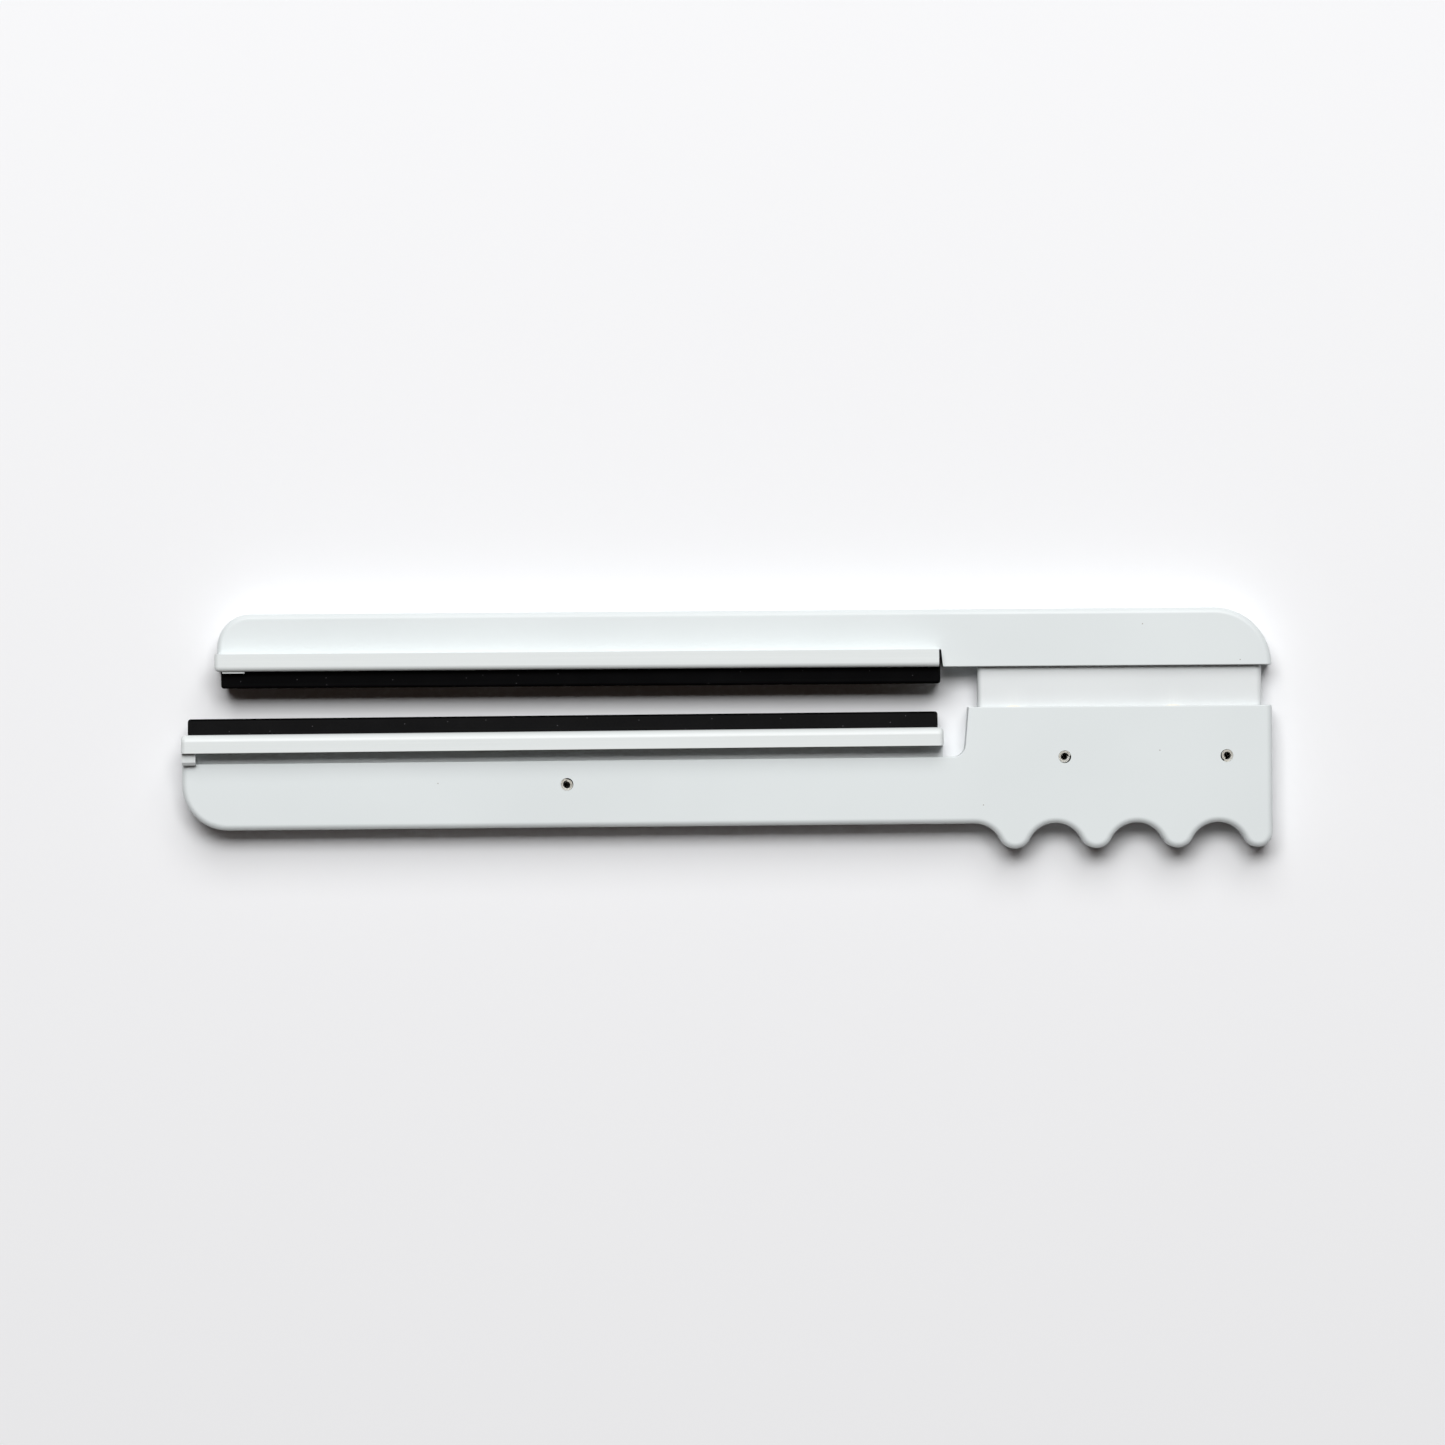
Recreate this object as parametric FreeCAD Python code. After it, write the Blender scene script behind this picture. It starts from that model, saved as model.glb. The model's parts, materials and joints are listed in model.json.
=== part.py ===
import FreeCAD
import Part
import math
import os

# Hand-squeezed gripper with two long parallel jaws. It lies on its flat back on the XY plane:
# X runs along the jaws, the grip end at +X, and Y runs from the finger grip (-Y) to the palm
# rail (+Y). The origin is at the middle of the bottom of the whole object. Millimetres.

# Overall
LENGTH = 300.0
WIDTH = 66.0
BODY_THICK = 12.0
JAW_HEIGHT = 17.0
RIGHT = LENGTH / 2
LEFT = -LENGTH / 2
TOP = WIDTH / 2
TIP = -WIDTH / 2

# Shells
MID = BODY_THICK / 2
FACE_WALL = 2.4
SIDE_WALL = 2.1
EDGE_ROUND = 1.5
EDGE_BREAK = 0.25
SEAM = 0.2

# Handle outline
HANDLE_TOP = 6.05
HANDLE_BOTTOM = -26.0
ARM_BOTTOM_LEFT = -26.45
ARM_FRONT = -7.65
ARM_FRONT_LEFT = -8.2
ARM_CORNER = 12.5
THROAT_TOP_X = 66.5
THROAT_BOTTOM_X = 65.3
THROAT_FILLET = 3.4
CAVITY_BOTTOM = -23.6
PIER_LEFT = 64.6
PIER_FOOT = 3.0
SLOT_LEFT = -147.2
SLOT_RIGHT = 60.1

# Finger grip
GROOVE_R = 8.0
GROOVE_PITCH = 22.4
FIRST_GROOVE_X = 67.9

# Palm rail
RAIL_LEFT = -140.1
RAIL_EDGE = 17.2
RAIL_LEFT_CORNER = 9.0
REBATE_RIGHT_TOP = 59.1
REBATE_RIGHT_BOTTOM = 59.6
REBATE_Y = 22.0

# Tongue and its travel
CORE_THICK = 7.0
CORE_LOW = MID - CORE_THICK / 2
TONGUE_LEFT = 69.1
TONGUE_RIGHT = 147.3
TONGUE_END = -14.6
TONGUE_ROUND = 1.4
TRAVEL = 7.25
RUNNING = 0.1

# Jaws. Each bar stands on the plane and rises above the shells; side is +1 where it faces +Y.
UPPER_JAW = {
    "span": (-140.6, 58.4), "strip": (-139.0, 58.8), "back": REBATE_Y, "side": -1,
    "depth": 4.8, "round": 1.3, "rounded_ends": (-140.6,),
}
LOWER_JAW = {
    "span": (-149.9, 59.5), "strip": (-148.2, 58.0), "back": -4.8, "side": 1,
    "depth": 5.0, "round": 1.9, "rounded_ends": (-149.9, 59.5),
}
JAW_REACH = 9.4
GROOVE_LOW = 3.0
GROOVE_HIGH = 13.8
GROOVE_DEPTH = 2.6
STRIP_CORNER = 0.8
STRIP_EDGE = 0.3
END_ROUND = 1.2
LEAN = 0.2
LUG_LENGTH = 3.8
LUG_REACH = 3.3
LUG_LOW = 12.2
LUG_HIGH = 14.8
LUG_CHAMFER = 0.8
TAB = (-138.5, -132.4)
TAB_REACH = 0.45
TAB_LOW = 14.2
TAB_HIGH = 15.6

# Web of the rocking jaw
WEB = (-146.4, 59.5)
WEB_THICK = 4.5
WEB_BOTTOM = -12.4
NECK_TOP_HALF = 14.0
NECK_FOOT_HALF = 4.6
NECK_FOOT_DROP = 3.2

# Coiled pins
PIN_R = 1.75
PIN_SHEET = 0.33
PIN_TURNS = 2
PIN_AIR = 0.03
PIN_INSET = 0.15
PIVOT = (-44.1, -14.4)
INNER_PIN = (92.9, -7.8)
OUTER_PIN = (137.5, -7.8)
BUSH_R = 3.0
BUSH_PROUD = 0.08
BUSH_FIT = 0.05
EYE_R = 5.6

# Springs
SPRING_R = 2.1
SPRING_WIRE_R = 0.32
SPRING_COILS = 13
SPRING_BORE_R = 2.7
SPRING_SEAT = 0.05
SPRING_TOP = 3.4
SPRING_INBOARD = 7.0
ROD_R = 1.3
ROD_LENGTH = 10.0
ROD_SUNK = 2.2
ROD_TIP = 0.4

# Screws
BOSS_R = 2.8
SCREW_R = 1.25
SCREW_HEAD_R = 2.3
SCREW_HEAD = 1.6
SCREW_SUNK = 2.0
SCREW_LENGTH = 8.0
SCREW_HEAD_ROUND = 0.7
HEAD_CLEARANCE = 0.3
CROSS_HALF_LENGTH = 1.25
CROSS_HALF_WIDTH = 0.25
CROSS_DEPTH = 0.9
HANDLE_SCREWS = ((-128.0, -18.6), (-86.0, -18.6), (-2.0, -18.6), (44.0, -18.6))
GRIP_SCREW_Y = -27.6
RAIL_SCREW_Y = 26.6
RAIL_SCREW_X = (-101.0, -41.0, 19.0, 79.0, 136.0)
JAW_SCREW_OFFSETS = (-90.0, -30.0, 30.0, 90.0)
JAW_SCREW_LENGTH = 9.0

# Glide buttons
GLIDE_R = 5.0
GLIDE_SUNK = 0.4
GLIDE_PROUD = 0.06
GLIDE_X = (79.0, 122.9)
GLIDE_Y = 1.5


def vec(x, y, z=0.0):
    return FreeCAD.Vector(x, y, z)


def box(x0, x1, y0, y1, z0, z1):
    return Part.makeBox(x1 - x0, y1 - y0, z1 - z0, vec(x0, y0, z0))


def post(x, y, r, z0, z1):
    return Part.makeCylinder(r, z1 - z0, vec(x, y, z0))


def bar_y(x, z, r, y0, y1):
    return Part.makeCylinder(r, y1 - y0, vec(x, y0, z), vec(0, 1, 0))


def line(a, b):
    return Part.makeLine(vec(*a), vec(*b))


def arc(a, middle, b):
    return Part.Arc(vec(*a), vec(*middle), vec(*b)).toShape()


def on_circle(centre, r, degrees):
    angle = math.radians(degrees)
    return (centre[0] + r * math.cos(angle), centre[1] + r * math.sin(angle))


def plate(edges, z0, z1):
    face = Part.Face(Part.Wire(Part.__sortEdges__(edges)))
    face.translate(vec(0, 0, z0))
    return face.extrude(vec(0, 0, z1 - z0))


def polygon(points, z0, z1):
    edges = [line(points[i], points[(i + 1) % len(points)]) for i in range(len(points))]
    return plate(edges, z0, z1)


def edges_where(shape, test):
    return [edge for edge in shape.Edges if test(edge.BoundBox.Center, edge.BoundBox)]


def upright_near(shape, x, y, reach=0.6):
    """The vertical edges of a shape that stand near a point of the plan."""
    return edges_where(
        shape,
        lambda c, b: abs(c.x - x) < reach and abs(c.y - y) < reach and b.ZLength > 1.0,
    )


def at_height(shape, z, test):
    return edges_where(shape, lambda c, b: b.ZLength < 0.01 and abs(c.z - z) < 0.01 and test(c, b))


def grip_edges():
    """The scalloped finger grip, from the arm's straight bottom edge to the right-hand wall."""
    depth = HANDLE_BOTTOM - TIP
    groove_y = HANDLE_BOTTOM - GROOVE_R
    half = GROOVE_PITCH / 2
    bump_r = (half**2 + (GROOVE_R - depth) ** 2 - GROOVE_R**2) / (2 * depth)
    last_groove_x = FIRST_GROOVE_X + 3 * GROOVE_PITCH
    span = RIGHT - last_groove_x
    # The last bump also touches the right-hand wall.
    middle = span + depth
    product = span**2 + (GROOVE_R - depth) ** 2 - GROOVE_R**2
    last_r = middle - math.sqrt(middle**2 - product)
    edges = []
    start = (FIRST_GROOVE_X, HANDLE_BOTTOM)
    angle_start = 90.0
    for i in range(4):
        groove = (FIRST_GROOVE_X + i * GROOVE_PITCH, groove_y)
        last = i == 3
        r = last_r if last else bump_r
        bump = (RIGHT - r if last else groove[0] + half, TIP + r)
        lean = math.degrees(math.atan2(bump[1] - groove[1], bump[0] - groove[0]))
        join = on_circle(groove, GROOVE_R, lean)
        edges.append(arc(start, on_circle(groove, GROOVE_R, (angle_start + lean) / 2), join))
        finish_angle = 360.0 if last else 360.0 - lean
        finish = on_circle(bump, r, finish_angle)
        middle_angle = (180.0 + lean + finish_angle) / 2
        edges.append(arc(join, on_circle(bump, r, middle_angle), finish))
        start = finish
        angle_start = 180.0 - lean
    return edges, start


def handle_outline(z0, z1):
    edges, wall_foot = grip_edges()
    corner = (LEFT + ARM_CORNER, ARM_BOTTOM_LEFT + ARM_CORNER)
    corner_top = (LEFT, corner[1])
    corner_foot = (corner[0], ARM_BOTTOM_LEFT)
    edges += [
        line(wall_foot, (RIGHT, HANDLE_TOP)),
        line((RIGHT, HANDLE_TOP), (THROAT_TOP_X, HANDLE_TOP)),
        line((THROAT_TOP_X, HANDLE_TOP), (THROAT_BOTTOM_X, ARM_FRONT)),
        line((THROAT_BOTTOM_X, ARM_FRONT), (LEFT, ARM_FRONT_LEFT)),
        line((LEFT, ARM_FRONT_LEFT), corner_top),
        arc(corner_top, on_circle(corner, ARM_CORNER, 225.0), corner_foot),
        line(corner_foot, (FIRST_GROOVE_X, HANDLE_BOTTOM)),
    ]
    solid = plate(edges, z0, z1)
    return solid.makeFillet(THROAT_FILLET, upright_near(solid, THROAT_BOTTOM_X, ARM_FRONT))


def handle_cavity(z0, z1):
    inner_r = ARM_CORNER - SIDE_WALL
    arm = box(SLOT_LEFT, THROAT_TOP_X + 1, CAVITY_BOTTOM, ARM_FRONT + 1, z0, z1)
    arm = arm.makeFillet(inner_r, upright_near(arm, SLOT_LEFT, CAVITY_BOTTOM))
    wall = box(SLOT_RIGHT, THROAT_TOP_X + 2, ARM_FRONT - SIDE_WALL, ARM_FRONT + 2, z0, z1)
    pier = box(PIER_LEFT, TONGUE_LEFT - RUNNING, ARM_FRONT - PIER_FOOT, HANDLE_TOP, z0, z1)
    pocket = box(
        TONGUE_LEFT - RUNNING, TONGUE_RIGHT + RUNNING, CAVITY_BOTTOM, HANDLE_TOP + 1, z0, z1
    )
    return arm.cut(wall.fuse(pier)).fuse(pocket).removeSplitter()


def outer_side(c, b):
    """Outer edges of the handle: all but those that face the rail and the jaws."""
    faces_in = c.y > ARM_FRONT_LEFT - 0.1 and LEFT + 0.1 < c.x < RIGHT - 0.1
    return not faces_in


def handle_half(front):
    z0, z1 = (MID, BODY_THICK) if front else (0.0, MID)
    face_z = BODY_THICK if front else 0.0
    solid = handle_outline(z0, z1)
    solid = solid.makeFillet(EDGE_ROUND, at_height(solid, face_z, outer_side))
    solid = solid.makeChamfer(SEAM, at_height(solid, MID, outer_side))
    rim = at_height(solid, face_z, lambda c, b: not outer_side(c, b) and b.DiagonalLength > 3.0)
    solid = solid.makeFillet(EDGE_BREAK, rim)
    inside = (MID, BODY_THICK - FACE_WALL) if front else (FACE_WALL, MID)
    solid = solid.cut(handle_cavity(*inside))
    for x, y in (PIVOT, INNER_PIN, OUTER_PIN):
        solid = solid.cut(post(x, y, PIN_R, z0 - 1, z1 + 1))
    screws = handle_screw_places()
    for x, y in screws:
        if front:
            solid = solid.fuse(post(x, y, BOSS_R, FACE_WALL, z1 - FACE_WALL + 0.1))
            solid = solid.cut(post(x, y, SCREW_R, FACE_WALL - 1, SCREW_SUNK + SCREW_LENGTH))
        else:
            solid = solid.cut(screw_recess(x, y))
            solid = solid.cut(post(x, y, BOSS_R + RUNNING, FACE_WALL, MID + 1))
    for x, y in spring_places():
        solid = solid.cut(bar_y(x, MID, ROD_R, CAVITY_BOTTOM - ROD_SUNK, CAVITY_BOTTOM + 1))
    return solid.removeSplitter()


def handle_screw_places():
    bumps = (FIRST_GROOVE_X + GROOVE_PITCH / 2, FIRST_GROOVE_X + 2.5 * GROOVE_PITCH)
    return list(HANDLE_SCREWS) + [(x, GRIP_SCREW_Y) for x in bumps]


def rail_screw_places():
    return [(x, RAIL_SCREW_Y) for x in RAIL_SCREW_X]


def spring_places():
    return [(pin[0] - SPRING_INBOARD, CAVITY_BOTTOM) for pin in (INNER_PIN, OUTER_PIN)]


def screw_recess(x, y):
    head = post(x, y, SCREW_HEAD_R + HEAD_CLEARANCE, -1.0, SCREW_SUNK)
    return head.fuse(post(x, y, SCREW_R + RUNNING, 0.0, MID + 1))


def cross(half_length, half_width):
    """The half sizes, along and across, of the two bars of a cross recess."""
    return ((half_length, half_width), (half_width, half_length))


def rear_screws(places):
    """Pan-head screws with a cross recess, driven up into the front shell's bosses."""
    crown = SCREW_SUNK - SCREW_HEAD
    solids = []
    for x, y in places:
        head = post(x, y, SCREW_HEAD_R, crown, SCREW_SUNK)
        head = head.makeFillet(SCREW_HEAD_ROUND, at_height(head, crown, lambda c, b: True))
        screw = head.fuse(post(x, y, SCREW_R, SCREW_SUNK, SCREW_SUNK + SCREW_LENGTH))
        for w, d in cross(CROSS_HALF_LENGTH, CROSS_HALF_WIDTH):
            screw = screw.cut(box(x - w, x + w, y - d, y + d, 0.0, crown + CROSS_DEPTH))
        solids.append(screw.removeSplitter())
    return Part.makeCompound(solids)


def rail_outline(z0, z1):
    """The rail is a bar with two rounded outer corners and a rebate that seats the upper jaw."""
    big = TOP - RAIL_EDGE
    right_centre = (RIGHT - big, RAIL_EDGE)
    left_centre = (RAIL_LEFT + RAIL_LEFT_CORNER, TOP - RAIL_LEFT_CORNER)
    right_top = (right_centre[0], TOP)
    left_top = (left_centre[0], TOP)
    left_foot = (RAIL_LEFT, left_centre[1])
    edges = [
        arc((RIGHT, RAIL_EDGE), on_circle(right_centre, big, 45.0), right_top),
        line(right_top, left_top),
        arc(left_top, on_circle(left_centre, RAIL_LEFT_CORNER, 135.0), left_foot),
        line(left_foot, (RAIL_LEFT, REBATE_Y)),
        line((RAIL_LEFT, REBATE_Y), (REBATE_RIGHT_TOP, REBATE_Y)),
        line((REBATE_RIGHT_TOP, REBATE_Y), (REBATE_RIGHT_BOTTOM, RAIL_EDGE)),
        line((REBATE_RIGHT_BOTTOM, RAIL_EDGE), (RIGHT, RAIL_EDGE)),
    ]
    return plate(edges, z0, z1)


def spine(z0, z1, gap=0.0):
    """The bar inside the rail; gap grows it into the room that the shells leave for it."""
    upper = TOP - SIDE_WALL + gap
    left = RAIL_LEFT + SIDE_WALL - gap
    left_r = RAIL_LEFT_CORNER - SIDE_WALL + gap
    left_centre = (left + left_r, upper - left_r)
    right_r = upper - RAIL_EDGE
    right_centre = (RIGHT - (TOP - RAIL_EDGE), RAIL_EDGE)
    foot_angle = math.degrees(math.asin((REBATE_Y - RAIL_EDGE) / right_r))
    foot = on_circle(right_centre, right_r, foot_angle)
    middle = on_circle(right_centre, right_r, (foot_angle + 90.0) / 2)
    edges = [
        arc(foot, middle, (right_centre[0], upper)),
        line((right_centre[0], upper), (left_centre[0], upper)),
        arc((left_centre[0], upper), on_circle(left_centre, left_r, 135.0), (left, left_centre[1])),
        line((left, left_centre[1]), (left, REBATE_Y)),
        line((left, REBATE_Y), foot),
    ]
    return plate(edges, z0, z1)


def rail_side(c, b):
    """Outer edges of the rail: its back, and the large corner at the grip end."""
    large_corner = c.x > RIGHT - (TOP - RAIL_EDGE) / 2 - 1.0 and b.YLength > END_ROUND
    return c.y > REBATE_Y + 0.1 or large_corner


def rail_half(front):
    z0, z1 = (MID, BODY_THICK) if front else (0.0, MID)
    face_z = BODY_THICK if front else 0.0
    solid = rail_outline(z0, z1)
    solid = solid.makeFillet(EDGE_ROUND, at_height(solid, face_z, rail_side))
    solid = solid.makeChamfer(SEAM, at_height(solid, MID, rail_side))
    rim = at_height(solid, face_z, lambda c, b: c.y < RAIL_EDGE + 0.1)
    solid = solid.makeFillet(EDGE_BREAK, rim)
    inside = (MID, BODY_THICK - FACE_WALL) if front else (FACE_WALL, MID)
    solid = solid.cut(spine(*inside, gap=RUNNING))
    mouth = box(TONGUE_LEFT - RUNNING, TONGUE_RIGHT + RUNNING, RAIL_EDGE - 1, REBATE_Y, *inside)
    solid = solid.cut(mouth)
    for x, y in rail_screw_places():
        if front:
            solid = solid.fuse(post(x, y, BOSS_R, FACE_WALL, z1 - FACE_WALL + 0.1))
            solid = solid.cut(post(x, y, SCREW_R, FACE_WALL - 1, SCREW_SUNK + SCREW_LENGTH))
        else:
            solid = solid.cut(screw_recess(x, y))
    return solid.removeSplitter()


def slide_tongue():
    z0, z1 = CORE_LOW, CORE_LOW + CORE_THICK
    tongue = box(TONGUE_LEFT, TONGUE_RIGHT, TONGUE_END, REBATE_Y, z0, z1)
    ends = [
        edge
        for edge in edges_where(tongue, lambda c, b: b.YLength > 10.0)
        if abs(edge.BoundBox.Center.x - TONGUE_LEFT) < 0.1
        or abs(edge.BoundBox.Center.x - TONGUE_RIGHT) < 0.1
    ]
    tongue = tongue.makeFillet(TONGUE_ROUND, ends)
    solid = spine(z0, z1).fuse(tongue)
    for x, y in rail_screw_places():
        solid = solid.cut(post(x, y, BOSS_R + RUNNING, z0 - 1, z1 + 1))
    for x, y in (INNER_PIN, OUTER_PIN):
        r = PIN_R + RUNNING
        solid = solid.cut(post(x, y, r, z0 - 1, z1 + 1))
        solid = solid.cut(post(x, y + TRAVEL, r, z0 - 1, z1 + 1))
        solid = solid.cut(box(x - r, x + r, y, y + TRAVEL, z0 - 1, z1 + 1))
    for x, y in spring_places():
        solid = solid.cut(bar_y(x, MID, SPRING_BORE_R, TONGUE_END - 1, SPRING_TOP))
    for x in jaw_screw_x(UPPER_JAW):
        solid = solid.cut(bar_y(x, MID, SCREW_R, REBATE_Y - 1, REBATE_Y + JAW_SCREW_LENGTH))
    for x in GLIDE_X:
        solid = solid.cut(post(x, GLIDE_Y, GLIDE_R, z1 - GLIDE_SUNK, z1 + 1))
        solid = solid.cut(post(x, GLIDE_Y, GLIDE_R, z0 - 1, z0 + GLIDE_SUNK))
    return solid.removeSplitter()


def glides(front):
    """Low-friction buttons let into the tongue, standing a hair proud of its face."""
    face = CORE_LOW + CORE_THICK if front else CORE_LOW
    outward = 1 if front else -1
    low, high = sorted((face - outward * GLIDE_SUNK, face + outward * GLIDE_PROUD))
    return Part.makeCompound([post(x, GLIDE_Y, GLIDE_R, low, high) for x in GLIDE_X])


def jaw_screw_x(jaw):
    return [sum(jaw["span"]) / 2 + offset for offset in JAW_SCREW_OFFSETS]


def groove_floor(jaw):
    return jaw["back"] + jaw["side"] * (jaw["depth"] - GROOVE_DEPTH)


def jaw_channel(jaw):
    """A jaw bar, grooved along its front for the gripping strip."""
    back, side = jaw["back"], jaw["side"]
    left, right = jaw["span"]
    front = back + side * jaw["depth"]
    low, high = sorted((back, front))
    solid = box(left, right, low, high, 0.0, JAW_HEIGHT)
    long_edges = edges_where(solid, lambda c, b: b.XLength > 50.0 and abs(c.y - front) < 0.01)
    solid = solid.makeFillet(jaw["round"], long_edges)
    end_edges = edges_where(
        solid,
        lambda c, b: any(abs(c.x - x) < 0.01 for x in jaw["rounded_ends"])
        and b.XLength < 0.01
        and not abs(c.y - back) < 0.01,
    )
    solid = solid.makeFillet(END_ROUND, end_edges)
    floor = groove_floor(jaw)
    low, high = sorted((floor, front + side))
    solid = solid.cut(box(left - 1, right + 1, low, high, GROOVE_LOW, GROOVE_HIGH))
    for x in jaw_screw_x(jaw):
        solid = solid.cut(countersunk(x, floor, side, 0.0))
    return solid


def end_lug(jaw):
    """A lug at the jaw's free end that laps over the arm's edge, so the jaw can't lift out."""
    left, back = jaw["span"][0], jaw["back"]
    lug = box(left + RUNNING, left + LUG_LENGTH, back - LUG_REACH, back + 1, LUG_LOW, LUG_HIGH)
    rim = edges_where(lug, lambda c, b: c.y < back - LUG_REACH + 0.01 and c.z > LUG_HIGH - 0.01)
    return lug.makeChamfer(LUG_CHAMFER, rim)


def end_tab(jaw):
    """A shallow tab on the front of the upper jaw bar, above the strip, at its free end."""
    front = jaw["back"] + jaw["side"] * jaw["depth"]
    return box(TAB[0], TAB[1], front - TAB_REACH, front + 1, TAB_LOW, TAB_HIGH)


def countersunk(x, floor, side, trim):
    """A countersunk screw lying along Y, its flat head level with the groove's floor."""
    start = vec(x, floor, MID)
    axis = vec(0, -side, 0)
    cone = Part.makeCone(SCREW_HEAD_R - trim, SCREW_R, SCREW_HEAD_R - SCREW_R, start, axis)
    shank = Part.makeCylinder(SCREW_R, JAW_SCREW_LENGTH, start, axis)
    return cone.fuse(shank)


def jaw_screws(jaw):
    floor, side = groove_floor(jaw), jaw["side"]
    low, high = sorted((floor, floor - side * CROSS_DEPTH))
    solids = []
    for x in jaw_screw_x(jaw):
        screw = countersunk(x, floor, side, RUNNING / 2)
        for w, d in cross(CROSS_HALF_LENGTH, CROSS_HALF_WIDTH):
            screw = screw.cut(box(x - w, x + w, low, high, MID - d, MID + d))
        solids.append(screw.removeSplitter())
    return Part.makeCompound(solids)


def jaw_rubber(jaw):
    floor = groove_floor(jaw)
    face = jaw["back"] + jaw["side"] * JAW_REACH
    low, high = sorted((floor, face))
    left, right = jaw["strip"]
    solid = box(left, right, low, high, GROOVE_LOW, GROOVE_HIGH)
    corners = edges_where(solid, lambda c, b: b.ZLength > 5.0 and abs(c.y - face) < 0.01)
    solid = solid.makeFillet(STRIP_CORNER, corners)
    rim = edges_where(solid, lambda c, b: b.ZLength < 0.01 and abs(c.y - face) < STRIP_CORNER)
    return solid.makeFillet(STRIP_EDGE, rim)


def lower_jaw_web():
    """A thin plate that carries the jaw bar, with a thick neck and eye round the pivot."""
    plate_low, plate_high = MID - WEB_THICK / 2, MID + WEB_THICK / 2
    core = (CORE_LOW, CORE_LOW + CORE_THICK)
    x, y = PIVOT
    solid = box(WEB[0], WEB[1], WEB_BOTTOM, LOWER_JAW["back"], plate_low, plate_high)
    neck = [
        (x - NECK_TOP_HALF, WEB_BOTTOM),
        (x - NECK_FOOT_HALF, y - NECK_FOOT_DROP),
        (x + NECK_FOOT_HALF, y - NECK_FOOT_DROP),
        (x + NECK_TOP_HALF, WEB_BOTTOM),
    ]
    solid = solid.fuse(post(x, y, EYE_R, *core)).fuse(polygon(neck, *core))
    solid = solid.cut(post(x, y, BUSH_R, 0.0, BODY_THICK))
    foot = LOWER_JAW["back"] - JAW_SCREW_LENGTH
    for screw_x in jaw_screw_x(LOWER_JAW):
        solid = solid.cut(bar_y(screw_x, MID, SCREW_R, foot, LOWER_JAW["back"] + 1))
    return solid.removeSplitter()


def pivot_bush():
    reach = CORE_THICK / 2 + BUSH_PROUD
    outer = post(PIVOT[0], PIVOT[1], BUSH_R, MID - reach, MID + reach)
    return outer.cut(post(PIVOT[0], PIVOT[1], PIN_R + BUSH_FIT, 0.0, BODY_THICK))


def coiled_pin(place, seam):
    """Spring steel sheet rolled up about two turns; seam is the direction of its outer edge."""
    step = PIN_SHEET + PIN_AIR
    outer = []
    inner = []
    halves = 2 * PIN_TURNS
    r = PIN_R
    centre = 0.0
    for i in range(halves):
        sign = 1 if i % 2 == 0 else -1
        outer.append((centre, r, sign))
        inner.append((centre, r - PIN_SHEET, sign))
        centre -= sign * step / 2
        r -= step / 2

    def half_turn(c, radius, sign):
        return arc((c + sign * radius, 0.0), (c, sign * radius), (c - sign * radius, 0.0))

    edges = [half_turn(*item) for item in outer] + [half_turn(*item) for item in inner]
    first = outer[0]
    last = outer[-1]
    edges.append(line((first[0] + first[1], 0.0), (first[0] + first[1] - PIN_SHEET, 0.0)))
    end_x = last[0] - last[2] * last[1]
    edges.append(line((end_x, 0.0), (end_x + last[2] * PIN_SHEET, 0.0)))
    solid = plate(edges, PIN_INSET, BODY_THICK - PIN_INSET)
    solid.rotate(vec(0, 0), vec(0, 0, 1), seam)
    solid.translate(vec(place[0], place[1]))
    return solid


def return_spring(place):
    """Compression spring, drawn at its length with the gripper open."""
    length = SPRING_TOP - CAVITY_BOTTOM - 2 * (SPRING_WIRE_R + SPRING_SEAT)
    helix = Part.makeHelix(length / SPRING_COILS, length, SPRING_R)
    wire = Part.Circle(vec(SPRING_R, 0, 0), vec(0, 1, 0.15), SPRING_WIRE_R).toShape()
    solid = Part.Wire(helix.Edges).makePipeShell([Part.Wire([wire])], True, True)
    solid.rotate(vec(0, 0), vec(1, 0, 0), -90.0)
    solid.translate(vec(place[0], CAVITY_BOTTOM + SPRING_WIRE_R + SPRING_SEAT, MID))
    return solid


def spring_rod(place):
    start = CAVITY_BOTTOM - ROD_SUNK
    rod = bar_y(place[0], MID, ROD_R, start, start + ROD_LENGTH)
    tip = edges_where(rod, lambda c, b: abs(c.y - start - ROD_LENGTH) < 0.01)
    return rod.makeChamfer(ROD_TIP, tip)


def leaned(shape):
    """The lower jaw sits with a slight lean on its pivot."""
    copy = shape.copy()
    copy.rotate(vec(PIVOT[0], PIVOT[1]), vec(0, 0, 1), LEAN)
    return copy


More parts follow.
